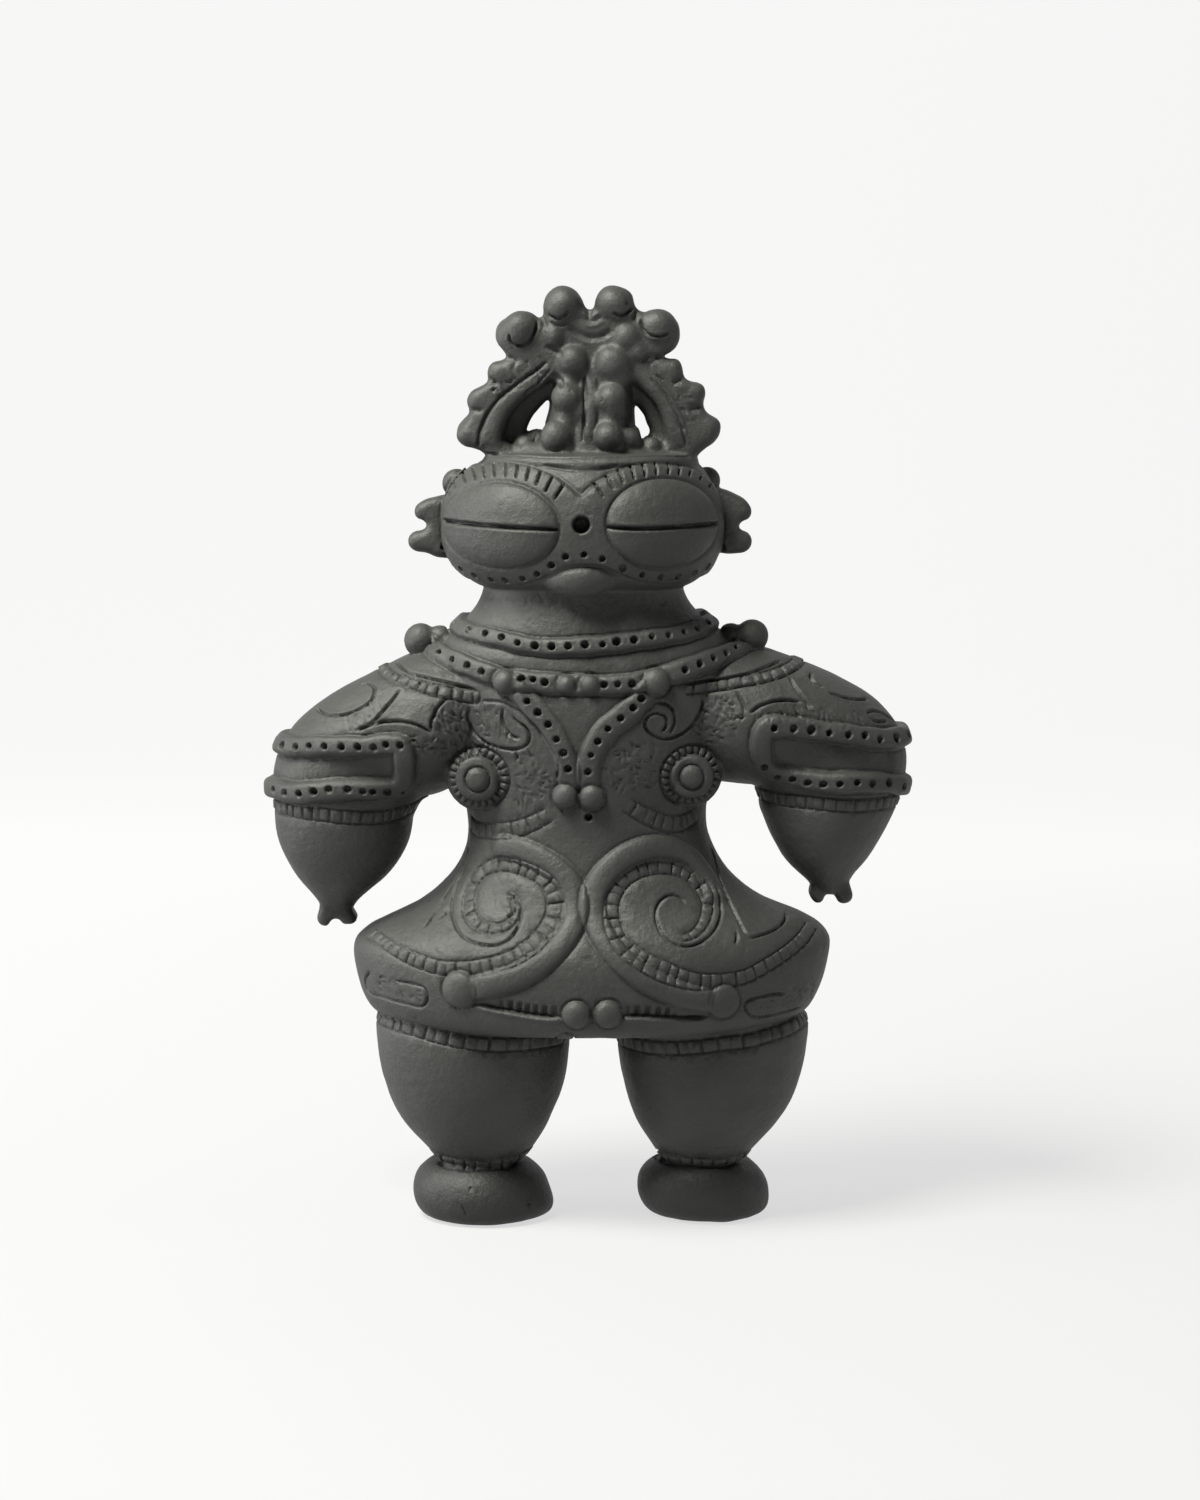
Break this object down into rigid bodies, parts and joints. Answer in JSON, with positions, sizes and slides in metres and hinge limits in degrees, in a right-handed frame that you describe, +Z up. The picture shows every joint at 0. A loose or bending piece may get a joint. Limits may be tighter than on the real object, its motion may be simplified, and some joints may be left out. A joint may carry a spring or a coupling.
{
  "type": "goggle-eyed dogu figurine",
  "caption": "Standing hollow-fired clay figure with slit goggle eyes, an openwork crown, armlets, spiral relief and two round feet.",
  "frame": {"origin": "on the ground, under the middle of the figure's bounding box", "axes": "+Z up, the face looks along -Y, +X to the right as seen by someone facing the figure"},
  "size_m": [0.232, 0.1004, 0.342],
  "materials": {
    "black_clay": "matt, smoothed dark grey clay with a slight sheen on the high spots"
  },
  "bodies": {
    "root": {"dogu": "black_clay"}
  },
  "joints": []
}
